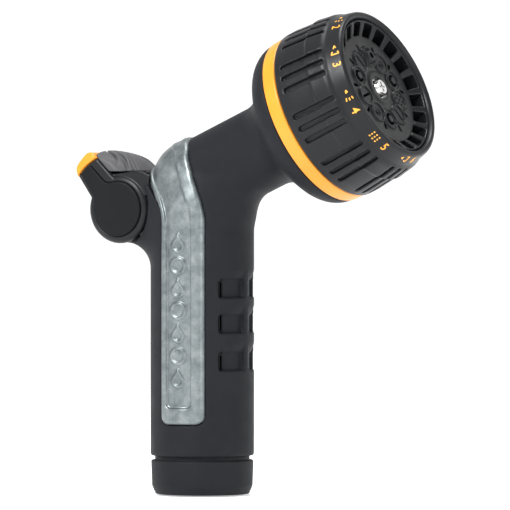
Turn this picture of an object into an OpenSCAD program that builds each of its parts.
// Hose spray nozzle with a thumb lever, a turning pattern dial and a rubber covered handle.
// Origin: centre of the hose inlet's mouth. +Z runs up the handle, +X is the spray side.

/* [Handle] */
// Outer diameter of the rubber handle
handle_d = 37; // [34:0.5:40]
// Height where the straight handle ends and the elbow begins
handle_top = 96; // [92:1:98]
// Thickness of the rubber over the casting
skin = 2.5; // [2:0.1:3]
// Radius of the hose thread's plain bore
thread_r = 13.6; // [13.4:0.05:13.8]
// Depth of the hose thread
thread_depth = 11.2; // [10:0.2:12]

/* [Head] */
// Height where the head's axis crosses the handle's axis
head_z = 112.1; // [110:0.1:114]
// Tilt of the spray direction above horizontal
head_tilt = 24; // [20:1:28]
// Outer radius of the neck
neck_r = 15; // [14:0.5:16]
// Largest radius of the rubber dome behind the dial
dome_r = 30.7; // [30:0.1:31]
// Largest radius of the dial
dial_r = 31.45; // [31:0.05:32]
// Number of spray patterns on the dial
patterns = 10; // [10:1:10]
// Radius of the circle that the outlets lie on
outlet_circle = 12; // [11.5:0.5:12.5]
// Angle from the top of the head to the pattern in use
dial_rest = -4; // [-10:1:10]

/* [Lever] */
// Distance of the lever's pivot behind the handle's axis
pivot_back = 27; // [26:0.5:28]
// Height of the lever's pivot
pivot_z = 101.7; // [101:0.1:103]
// Half of the width across the lever's covers
lever_half = 15; // [14.5:0.1:15.5]
// Angle from the spray side up to the lever's arm
arm_angle = 132; // [128:1:135]
// Turn of the lever from shut to fully open
lever_swing = 45; // [40:1:45]
// Offset of the crank pin from the pivot
crank = 4; // [3.5:0.1:4]

/* [Hidden] */
$fn = 96;
eps = 0.01;
far = 80;
run_gap = 0.05;

// Handle and elbow
handle_r = handle_d / 2;
core_r = handle_r - skin;
groove_z = 13.8;
bumper_top = 12.2;
elbow_x = -2.3;
elbow_z = 110;
elbow_r = 16;
cone_top = 111;
cone_drop = 3.9;
cavity_r = 13;
cavity_top = 84;
insert_r = thread_r + 1;
insert_top = 15.5;
washer_r = 13.3;
washer_hole_r = 8.5;
washer_top = 14;

// Finger pockets down the handle's front
pocket_z = [44.2, 57.7, 70.8];
pocket_h = 6.2;
pocket_depth = 1.2;
pocket_from = 3.5;
pocket_to = 41;

// Web that fills the corner under the neck
web_r = 17;
web_half = 8;

// Saddle strap: a strip seen from the side, laid over the handle and the elbow
strap_x = 2;
strap_half = 8.7;
strap_bottom = 25.2;
strap_corner = 3;
strap_bend_z = 96.3;
strap_bend_r = 24;
strap_bend = 33;
bend_steps = 6;
strap_reach = 30;
strap_out = 1;
strap_in = 1.5;
panel_half = 5.6;
panel_bottom = 31.5;
panel_depth = 0.9;

// Head, measured along its own axis from the crossing point
dome_start = 28.8;
dome_full = 50.4;
dome_end = 50.9;
dome_hollow_r = 10;
dome_round_r = 12.7;
hollow_c = [neck_r + dome_hollow_r, dome_start];
round_c = [dome_r - dome_round_r, dome_full];
neck_bore_r = 9.5;
neck_bore_start = 6.5;
plenum_r = 22.5;
plenum_t = 43.5;
deck_t = 46;
deck_r = 26.5;
drum_r = 28.3;
drum_end = 55.8;
ring_from = 51.1;
ring_to = 56.2;
plate_t = 56.5;
plate_end = 60.5;
dial_from = 56.6;
rim_r = 1.4;
post_r = 4;
post_end = 77.6;
face_t = 79;
face_r = 22.2;
face_back = 73;
tube_r = 3.5;
tube_bore = 2.6;
insert_flange = 3.3;
port_r = 3.2;
detent_circle = 18.5;
detent_angle = dial_rest + 180;

// Lever
boss_r = 11.9;
boss_half = 11.4;
boss_bore = 8.5;
journal_r = 6.5;
journal_in = 4.2;
pin_r = 2.4;
cheek_in = 11.8;
cheek_r = 12.3;
cover_r = 10;
cover_t = 0.8;
arm_w = 8.3;
arm_end = 19.7;
tip_end = 22.8;
bridge_in = 14.5;
pad_in = 17.3;
pad_out = 20.8;
pad_front = 55;
pad_back = 118;
tip_back = 143;
elbow_clear = 0.7;

// Plunger, along X below the pivot
rod_z = pivot_z - 4.2;
rod_r = 4;
rod_back = 5.6 - pivot_back;
yoke_half = 3.9;
pin_angle = 90 - lever_swing / 2;
pin_x = crank * cos(pin_angle);
pin_z = crank * sin(pin_angle);
chamber_r = 7.5;
chamber_back = -9;
seat_x = 3.65;
seat_end = 6.5;
outlet_end = 11;
cap_end = 13.3;

// ---- Placing ----
module on_head(t = 0)
    translate([0, 0, head_z]) rotate([0, 90 - head_tilt, 0]) rotate([0, 0, 180]) translate([0, 0, t])
        children();

module on_pivot() translate([-pivot_back, 0, pivot_z]) rotate([90, 0, 0]) children();

module along_x(x, z) translate([x, 0, z]) rotate([0, 90, 0]) children();

module each_pattern(list = [0 : patterns - 1])
    for (k = list) rotate([0, 0, dial_rest + k * 360 / patterns]) translate([outlet_circle, 0, 0])
        children();

module both_sides() for (s = [0, 1]) mirror([0, s, 0]) children();

// ---- Shared shapes ----
module tube(r_out, r_in, h)
    difference() {
        cylinder(r = r_out, h = h);
        translate([0, 0, -eps]) cylinder(r = r_in, h = h + 2 * eps);
    }

module o_ring(major, minor) rotate_extrude() translate([major, 0]) circle(r = minor, $fn = 32);

module wedge(a0, a1, r) polygon([[0, 0], [r * cos(a0), r * sin(a0)],
    [r * cos((a0 + a1) / 2), r * sin((a0 + a1) / 2)] * 1.3, [r * cos(a1), r * sin(a1)]]);

module sector(r_in, r_out, a0, a1)
    intersection() {
        difference() {
            circle(r = r_out);
            circle(r = r_in);
        }
        wedge(a0, a1, r_out * 1.6);
    }

// Half section of the dome, at a depth under the rubber's surface
module dome_section(depth) {
    span = norm(round_c - hollow_c);
    meet = hollow_c + (round_c - hollow_c) * (dome_hollow_r + depth) / span;
    difference() {
        polygon([[0, dome_start], hollow_c, meet, [0, meet[1]]]);
        translate(hollow_c) circle(r = dome_hollow_r + depth);
    }
    intersection() {
        union() {
            translate(round_c) circle(r = dome_round_r - depth);
            square([round_c[0], dome_full]);
        }
        translate([0, meet[1]]) square([far, dome_full - meet[1]]);
    }
    translate([0, dome_full]) square([dome_r - depth, dome_end - dome_full]);
}

// Handle and elbow without the neck, at a depth under the rubber's surface
module handle_form(depth, bottom) {
    translate([0, 0, bottom]) cylinder(r = handle_r - depth, h = handle_top - bottom);
    translate([0, 0, handle_top])
        cylinder(r1 = handle_r - depth, r2 = handle_r - depth - cone_drop, h = cone_top - handle_top);
    translate([elbow_x, 0, elbow_z]) sphere(r = elbow_r - depth);
}

// The whole outside of the grip, at a depth under the rubber's surface
module body_form(depth, bottom) {
    handle_form(depth, bottom);
    on_head() {
        cylinder(r = neck_r - depth, h = dome_start + eps);
        rotate_extrude() dome_section(depth);
    }
    stub_form(depth);
}

// Barrel that carries the lever, and its root on the handle
module stub_form(depth) {
    on_pivot() translate([0, 0, -boss_half]) cylinder(r = boss_r - depth * 0.6, h = 2 * boss_half);
    translate([-pivot_back, -boss_half, pivot_z - boss_r + depth])
        cube([pivot_back - 12, 2 * boss_half, 2 * boss_r - 2 * depth]);
}

// Side view of the strap, half_w each side of its centre line, with cut corners at the bottom
module strap_strip(half_w, bottom, corner) {
    bend_c = [strap_x - strap_bend_r, strap_bend_z];
    rear = [for (i = [0 : bend_steps]) bend_c + (strap_bend_r - half_w) * bend_dir(i)];
    front = [for (i = [bend_steps : -1 : 0]) bend_c + (strap_bend_r + half_w) * bend_dir(i)];
    reach = strap_reach * [-sin(strap_bend), cos(strap_bend)];
    foot_front = [[strap_x + half_w, bottom + corner], [strap_x + half_w - corner, bottom]];
    foot_rear = [[strap_x - half_w + corner, bottom], [strap_x - half_w, bottom + corner]];
    polygon(concat(rear, [rear[bend_steps] + reach, front[0] + reach], front, foot_front, foot_rear));
}

function bend_dir(i) = [cos(strap_bend * i / bend_steps), sin(strap_bend * i / bend_steps)];

module strap_slab(half_w, bottom, corner)
    rotate([90, 0, 0]) translate([0, 0, -far / 2]) linear_extrude(far) strap_strip(half_w, bottom, corner);

module strap_form()
    difference() {
        intersection() {
            handle_form(-strap_out, strap_bottom - 1);
            strap_slab(strap_half, strap_bottom, strap_corner);
        }
        handle_form(strap_in, 0);
        difference() {
            strap_slab(panel_half, panel_bottom, 2);
            handle_form(panel_depth - strap_out, 0);
        }
        // relief on the underside, where the casting's neck and lever root stand out
        on_head() cylinder(r = neck_r - skin, h = dome_start);
        stub_form(skin);
    }

// ---- Body pieces ----
module cast_body() color("lightslategray") {
    difference() {
        body_form(skin, 0);
        // room at the mouth for the threaded insert
        translate([0, 0, -eps]) cylinder(r = insert_r, h = insert_top + eps);
        cylinder(r = cavity_r, h = cavity_top);
        // riser from the handle into the valve chamber
        translate([-3.2, 0, cavity_top - 4]) cylinder(r = 5.5, h = rod_z - cavity_top + 4);
        // valve chamber, then the plunger's guide
        along_x(chamber_back, rod_z) cylinder(r = chamber_r, h = far);
        along_x(-pivot_back, rod_z) cylinder(r = rod_r + run_gap, h = pivot_back);
        // transfer ports up into the neck
        for (y = [-5, 0, 5]) translate([8.7, y, rod_z]) cylinder(r = 2.2, h = 12.5);
        on_head(neck_bore_start) cylinder(r = neck_bore_r, h = dome_start);
        difference() {
            on_head() {
                translate([0, 0, dome_start + 3.5])
                    cylinder(r1 = neck_bore_r - 1, r2 = plenum_r, h = plenum_t - dome_start - 3.5);
                translate([0, 0, plenum_t]) cylinder(r = plenum_r, h = deck_t - plenum_t + eps);
            }
            on_head() deck_screw_places() cylinder(r = 3, h = deck_t);
        }
        on_head(deck_t) cylinder(r = deck_r, h = 10);
        on_head() deck_screw_places() translate([0, 0, deck_t - 4]) cylinder(r = 1.2, h = 5);
        // spindle barrel across the boss
        on_pivot() translate([0, 0, -boss_half - eps]) cylinder(r = boss_bore, h = 2 * boss_half + 2 * eps);
    }
}

module finger_pocket()
    linear_extrude(pocket_h) sector(handle_r - pocket_depth, handle_r + 2, pocket_from, pocket_to);

module grip_overmold() color("dimgray")
    difference() {
        union() {
            body_form(0, groove_z);
            // web under the neck
            rotate([90, 0, 0]) translate([0, 0, -web_half]) linear_extrude(2 * web_half) web_outline();
        }
        body_form(skin, 0);
        intersection() {
            handle_form(-strap_out - 1, 0);
            strap_slab(strap_half, strap_bottom, strap_corner);
            difference() {
                translate([-far / 2, -far / 2, 0]) cube([far, far, 2 * far]);
                handle_form(strap_in, 0);
            }
        }
        for (z = pocket_z) translate([0, 0, z]) both_sides() finger_pocket();
        on_pivot() translate([0, 0, -boss_half - eps]) cylinder(r = boss_bore, h = 2 * boss_half + 2 * eps);
    }

// Corner between the handle's front and the underside of the neck, with its hollow round
module web_outline() {
    down = [sin(head_tilt), -cos(head_tilt)];
    ahead = [cos(head_tilt), sin(head_tilt)];
    c_t = (handle_r + web_r - (neck_r + web_r) * down[0]) / ahead[0];
    centre = [0, head_z] + ahead * c_t + down * (neck_r + web_r);
    difference() {
        polygon([[0, centre[1]], centre, centre - down * (web_r + 4), [0, head_z]]);
        translate(centre) circle(r = web_r);
    }
}

module saddle_strap() color("silver") strap_form();

module inlet_bumper() color("dimgray")
    difference() {
        union() {
            cylinder(r1 = 16.5, r2 = 17.6, h = 2);
            translate([0, 0, 2]) cylinder(r1 = 17.6, r2 = 18.1, h = bumper_top - 2);
        }
        translate([0, 0, -eps]) cylinder(r = core_r, h = bumper_top + 1);
    }

module inlet_insert() color("black")
    difference() {
        cylinder(r = insert_r, h = insert_top);
        translate([0, 0, -eps]) cylinder(r = thread_r, h = thread_depth + eps);
        cylinder(r = washer_r, h = washer_top);
        cylinder(r = washer_hole_r, h = insert_top + eps);
    }

module hose_washer() color("sienna")
    translate([0, 0, thread_depth]) tube(washer_r, washer_hole_r, washer_top - thread_depth);

module inlet_screen() color("gainsboro")
    translate([0, 0, 12]) difference() {
        cylinder(r = washer_hole_r, h = 0.8);
        for (ring = [0 : 3]) for (k = [0 : max(1, 6 * ring) - 1])
            rotate([0, 0, k * 60 / max(1, ring)]) translate([2.2 * ring, 0, -eps])
                cylinder(r = 0.7, h = 1, $fn = 24);
    }

module seat_ring() color("gold")
    along_x(seat_x, rod_z) tube(chamber_r, 3.8, seat_end - seat_x);

module gland_bushes() color("ivory")
    for (s = [0, 1]) mirror([0, s, 0]) on_pivot() translate([0, 0, 4.5])
        tube(boss_bore, journal_r + run_gap, boss_half - 4.5);

module chamber_cap() color("gold")
    along_x(outlet_end, rod_z) difference() {
        cylinder(r = chamber_r, h = cap_end - outlet_end);
        translate([0, 0, 1.2]) cylinder(r = 3, h = 3, $fn = 6);
        translate([0, 0, 0.6]) tube(chamber_r + 1, chamber_r - 0.9, 1);
    }

module cap_o_ring() color("black") along_x(outlet_end + 1.1, rod_z) o_ring(chamber_r - 0.45, 0.44);

module deck_screw_places()
    for (k = [0 : 2]) rotate([0, 0, 30 + 120 * k]) translate([20.5, 0, 0]) children();

module deck_plate() color("darkslategray")
    on_head() difference() {
        union() {
            translate([0, 0, deck_t]) cylinder(r = deck_r, h = dome_end - deck_t);
            translate([0, 0, dome_end]) cylinder(r = drum_r, h = drum_end - dome_end);
            translate([0, 0, drum_end - eps]) cylinder(r = post_r, h = post_end - drum_end + eps);
        }
        // port to the pattern in use, with room for its seal and spring
        rotate([0, 0, dial_rest]) translate([outlet_circle, 0, deck_t - eps]) {
            cylinder(r = port_r, h = 20);
            translate([0, 0, 4]) cylinder(r = 5.2, h = 20);
        }
        rotate([0, 0, detent_angle]) translate([detent_circle, 0, deck_t + 2])
            cylinder(r = 2, h = 20);
        deck_screw_places() translate([0, 0, deck_t - eps]) {
            cylinder(r = 1.7, h = 20);
            translate([0, 0, 6.5]) cylinder(r = 3.2, h = 20);
        }
        // thread for the screw that keeps the dial on
        translate([0, 0, post_end - 12]) cylinder(r = 1.6, h = 20);
        // groove for the deck's seal
        translate([0, 0, deck_t + 1.5]) tube(deck_r + 1, deck_r - 1.3, 2);
    }

module deck_o_ring() color("black") on_head(deck_t + 2.5) o_ring(deck_r - 0.65, 0.64);

module deck_screws() color("silver")
    on_head() deck_screw_places() {
        translate([0, 0, deck_t - 3.8]) cylinder(r = 1.2, h = 10.3);
        translate([0, 0, deck_t + 6.5]) difference() {
            cylinder(r = 3, h = 2);
            translate([0, 0, 1]) cylinder(r = 1.3, h = 2, $fn = 6);
        }
    }

module port_seal() color("black")
    on_head() rotate([0, 0, dial_rest]) translate([outlet_circle, 0, 0]) {
        translate([0, 0, 53.3]) tube(5.1, port_r, plate_t - 53.3);
    }

// One wire of a compression spring, as a swept ring of points
module spring(r, wire, height, turns) {
    steps = 14;
    sides = 8;
    n = steps * turns;
    rings = [for (i = [0 : n]) let (a = 360 * i / steps, z = wire + (height - 2 * wire) * i / n)
        [for (k = [0 : sides - 1]) let (b = 360 * k / sides)
            [(r + wire * cos(b)) * cos(a), (r + wire * cos(b)) * sin(a), z + wire * sin(b)]]];
    sides_f = [for (i = [0 : n - 1]) for (k = [0 : sides - 1]) let (m = (k + 1) % sides)
        [i * sides + k, i * sides + m, (i + 1) * sides + m, (i + 1) * sides + k]];
    ends = [[for (k = [sides - 1 : -1 : 0]) k], [for (k = [0 : sides - 1]) n * sides + k]];
    polyhedron([for (ring = rings) for (p = ring) p], concat(sides_f, ends), convexity = 6);
}

module port_spring() color("silver")
    on_head(50.1) rotate([0, 0, dial_rest]) translate([outlet_circle, 0, 0]) spring(4.2, 0.4, 3.1, 3);

module detent_pin() color("silver")
    on_head() rotate([0, 0, detent_angle]) translate([detent_circle, 0, 0]) {
        translate([0, 0, 51.5]) cylinder(r = 1.9, h = 3.2);
        translate([0, 0, 54.7 - eps]) cylinder(r1 = 1.9, r2 = 0.9, h = 1.7);
    }

module detent_spring() color("silver")
    on_head(48.1) rotate([0, 0, detent_angle]) translate([detent_circle, 0, 0]) spring(1.4, 0.3, 3.3, 4);

module accent_ring() color("orange")
    on_head() rotate_extrude()
        polygon([[drum_r, ring_from], [30.7, ring_from], [31, ring_from + 0.4], [31, ring_to - 0.4],
            [30.7, ring_to], [drum_r, ring_to]]);

module dial_screw() color("silver")
    on_head() {
        translate([0, 0, post_end - 9]) cylinder(r = 1.6, h = 10);
        translate([0, 0, post_end + 0.8]) difference() {
            cylinder(r1 = 3.3, r2 = 2.6, h = 2);
            for (a = [0, 90]) rotate([0, 0, a]) translate([-1.9, -0.35, 1]) cube([3.8, 0.7, 2]);
        }
    }

module dial_washer() color("silver") on_head(post_end) tube(4.7, 1.6, 0.8);

// ---- Lever pieces ----
module cheek()
    difference() {
        union() {
            translate([0, 0, cheek_in]) cylinder(r1 = cheek_r, r2 = cover_r + 0.9, h = 2.4);
            // web up to the bridge, ahead of the gap
            translate([0, 0, cheek_in]) linear_extrude(1.4) sector(9, bridge_in + 0.5, pad_front + 2, 74);
            translate([0, 0, cheek_in]) linear_extrude(2.4) difference() {
                arm_outline(arm_w + 4, arm_end - 0.6);
                sector(pad_in, tip_end, pad_front, pad_back);
            }
        }
        // square drive on the spindle's end
        translate([-3.5, -3.5, cheek_in - 1]) cube([7, 7, 2.2]);
        cylinder(r = 2, h = 20);
        // sinks for the screw's head and for the cover
        translate([0, 0, cheek_in + 1.2]) cylinder(r = 5, h = 5);
    }

module arm_outline(w, end) rotate(arm_angle) translate([0, -w / 2]) square([end, w]);

module elbow_room()
    translate([elbow_x + pivot_back, elbow_z - pivot_z, 0]) sphere(r = elbow_r + strap_out + elbow_clear);

module thumb_lever() color("dimgray")
    on_pivot() {
        both_cheeks() cheek();
        difference() {
            translate([0, 0, -13.2]) linear_extrude(26.4) {
                sector(bridge_in, pad_in, pad_front + 2, tip_back - 2);
                sector(12.7, arm_end, pad_back + 1, tip_back - 1);
            }
            elbow_room();
        }
    }

module both_cheeks() for (s = [0, 1]) mirror([0, 0, s]) children();

module thumb_pad() color("gray")
    on_pivot() difference() {
        translate([0, 0, -13.8]) linear_extrude(27.6) sector(pad_in, pad_out, pad_front, pad_back);
        elbow_room();
        for (a = [72, 86, 100]) rotate([0, 0, a]) translate([pad_out, 0, 0]) rotate([14, 0, 0])
            cylinder(r = 0.8, h = 60, center = true, $fn = 24);
    }

module lever_tip() color("orange")
    on_pivot() translate([0, 0, -13]) linear_extrude(26)
        sector(arm_end, tip_end, pad_back + 1, tip_back - 1);

module side_covers() color("black")
    on_pivot() both_cheeks() translate([0, 0, lever_half - cover_t]) {
        cylinder(r = cover_r, h = cover_t);
        linear_extrude(cover_t) arm_outline(arm_w, arm_end);
    }

module valve_spindle() color("gold")
    on_pivot() difference() {
        union() {
            both_cheeks() {
                translate([0, 0, journal_in]) cylinder(r = journal_r, h = cheek_in - 0.1 - journal_in);
                translate([-3.5, -3.5, cheek_in - 0.2]) cube([7, 7, 1.4]);
            }
            translate([pin_x, pin_z, -journal_in - 0.1]) cylinder(r = pin_r, h = 2 * journal_in + 0.2);
        }
        both_cheeks() {
            translate([0, 0, 7.4]) tube(journal_r + 1, 4.9, 1.8);
            translate([0, 0, 5.5]) cylinder(r = 1.5, h = 20);
        }
    }

module spindle_o_rings() color("black")
    on_pivot() both_cheeks() translate([0, 0, 8.3]) o_ring(5.7, 0.78);

module lever_screws() color("silver")
    on_pivot() both_cheeks() {
        translate([0, 0, 6]) cylinder(r = 1.5, h = cheek_in + 1.2 - 6);
        translate([0, 0, cheek_in + 1.2]) difference() {
            cylinder(r = 3.4, h = 1.1);
            for (a = [0, 90]) rotate([0, 0, a]) translate([-2, -0.4, 0.5]) cube([4, 0.8, 2]);
        }
    }

// ---- Plunger pieces ----
module plunger_rod() color("gold")
    difference() {
        union() {
            along_x(rod_back, rod_z) cylinder(r = rod_r, h = 1 - rod_back);
            along_x(-0.5, rod_z) cylinder(r = 5.4, h = 1.5);
            along_x(rod_back - 4.6, rod_z) cylinder(r = 2.2, h = 5);
        }
        along_x(-14.5, rod_z) tube(rod_r + 1, 2.9, 1.3);
        along_x(-7, rod_z) cylinder(r = 1.5, h = 20);
    }

// Fork that the crank pin works in, and that the rod screws into
module plunger_yoke() color("ivory")
    difference() {
        on_pivot() translate([0, 0, -yoke_half]) linear_extrude(2 * yoke_half) difference() {
            intersection() {
                circle(r = boss_bore - 0.2);
                translate([2 * pin_x, 0]) circle(r = boss_bore - 0.2);
            }
            translate([pin_x - pin_r - run_gap, 0.9]) square([2 * (pin_r + run_gap), 20]);
            translate([5.6, -20]) square([10, 20.5]);
        }
        along_x(rod_back - 4.6, rod_z) cylinder(r = 2.2, h = 10);
    }

module plunger_seal() color("black") along_x(1, rod_z) tube(5.6, 1.5, seat_x - 1.03);

module seal_screw() color("silver")
    along_x(-6.5, rod_z) {
        cylinder(r = 1.5, h = 6.5 + seat_x - 0.03);
        translate([0, 0, 6.5 + seat_x - 0.03]) difference() {
            cylinder(r = 3, h = 1.6);
            translate([-2, -0.4, 0.8]) cube([4, 0.8, 2]);
        }
    }

module plunger_o_ring() color("black") along_x(-13.85, rod_z) o_ring(3.44, 0.5);

// ---- Dial pieces ----
// Half section of the dial's shell: sloping sleeve, shoulder, lettering band and rounded front rim
module shell_section() {
    polygon([[28.5, dial_from], [30.9, dial_from], [dial_r, 57.4], [dial_r, 61], [30.2, 75.2],
        [29.6, 76.6], [28.9, 77.6], [28.9, 78.4], [28, 82], [26.6, 83.4], [23.4, 83.4], [face_r, 80],
        [face_r, 74.4], [24, 72.4], [28.5, 72.4]]);
    translate([26.6, 82]) circle(r = rim_r, $fn = 32);
}

module dial_shell() color("dimgray")
    on_head() difference() {
        rotate_extrude() shell_section();
        for (k = [0 : patterns - 1]) for (j = [-1, 0, 1])
            rotate([0, 0, dial_rest + k * 360 / patterns + j * 8.6]) translate([31.6, 0, 59.5])
                rotate([0, -5, 0]) cylinder(r = 0.8, h = 16, $fn = 24);
    }

module dial_face() color("black")
    on_head() difference() {
        rotate_extrude() polygon([[post_r + run_gap, 70], [8, 70], [8, face_back], [face_r, face_back],
            [face_r, 83], [18.5, face_t], [5, face_t], [5, post_end - 0.1], [post_r + run_gap, post_end - 0.1]]);
        for (k = [0 : 2 * patterns - 1]) rotate([0, 0, dial_rest + (k + 0.5) * 180 / patterns])
            translate([0, 0, face_back + 2]) linear_extrude(20) sector(18.7, face_r + 1, -6, 6);
        each_pattern() {
            translate([0, 0, face_back - 1]) cylinder(r = tube_bore, h = 20);
            translate([0, 0, face_t - 2]) cylinder(r = insert_flange, h = 20);
        }
    }

module dial_back_plate() color("darkslategray")
    on_head() difference() {
        union() {
            translate([0, 0, plate_t]) cylinder(r = 28.5, h = plate_end - plate_t);
            each_pattern() translate([0, 0, plate_end - eps]) cylinder(r = tube_r, h = face_back - plate_end);
        }
        translate([0, 0, plate_t - 1]) cylinder(r = post_r + run_gap, h = 10);
        translate([0, 0, plate_end - 1.5]) cylinder(r = 5.6, h = 10);
        each_pattern() translate([0, 0, plate_t - 1]) cylinder(r = tube_bore, h = 30);
        for (k = [0 : patterns - 1]) rotate([0, 0, dial_rest + k * 360 / patterns])
            translate([detent_circle, 0, plate_t - eps]) cylinder(r1 = 1.4, r2 = 0.9, h = 0.6);
    }

module dial_o_ring() color("black") on_head(plate_end - 0.74) o_ring(4.85, 0.73);

// Outlet pieces: a flange in the face's counterbore and what the water leaves through
module insert_body()
    translate([0, 0, face_t - 2]) cylinder(r = insert_flange, h = 2.2);

module jet_insert() color("black")
    on_head() each_pattern([0]) difference() {
        union() {
            insert_body();
            translate([0, 0, face_t]) cylinder(r1 = 2.9, r2 = 2, h = 1.6);
        }
        translate([0, 0, face_back]) cylinder(r = 1.2, h = 20);
    }

module cone_inserts() color("black")
    on_head() each_pattern([2, 5, 8]) {
        difference() {
            insert_body();
            translate([0, 0, face_back]) cylinder(r = 2.4, h = 20);
        }
        translate([0, 0, face_t - 2]) {
            cylinder(r = 1.3, h = 2.6);
            for (a = [0, 90]) rotate([0, 0, a]) translate([-2.5, -0.3, 0]) cube([5, 0.6, 1]);
        }
    }

module fan_inserts() color("black")
    on_head() each_pattern([1, 3, 6]) difference() {
        insert_body();
        translate([-2.6, -0.45, face_back]) cube([5.2, 0.9, 20]);
    }

module mist_inserts() color("black")
    on_head() each_pattern([4, 9]) difference() {
        insert_body();
        translate([0, 0, face_back]) cylinder(r = 0.6, h = 20, $fn = 24);
        translate([0, 0, face_t - 0.6]) cylinder(r1 = 0.6, r2 = 2.2, h = 1);
    }

module shower_inserts() color("black")
    on_head() each_pattern([7]) difference() {
        insert_body();
        for (k = [0 : 5]) rotate([0, 0, 60 * k]) translate([1.9, 0, face_back]) cylinder(r = 0.5, h = 20, $fn = 24);
        translate([0, 0, face_back]) cylinder(r = 0.5, h = 20, $fn = 24);
    }

cast_body();
grip_overmold();
saddle_strap();
inlet_bumper();
inlet_insert();
hose_washer();
inlet_screen();
seat_ring();
gland_bushes();
chamber_cap();
cap_o_ring();
deck_plate();
deck_o_ring();
deck_screws();
port_seal();
port_spring();
detent_pin();
detent_spring();
accent_ring();
dial_screw();
dial_washer();
thumb_lever();
thumb_pad();
lever_tip();
side_covers();
valve_spindle();
spindle_o_rings();
lever_screws();
plunger_rod();
plunger_yoke();
plunger_seal();
seal_screw();
plunger_o_ring();
dial_shell();
dial_face();
dial_back_plate();
dial_o_ring();
jet_insert();
cone_inserts();
fan_inserts();
mist_inserts();
shower_inserts();
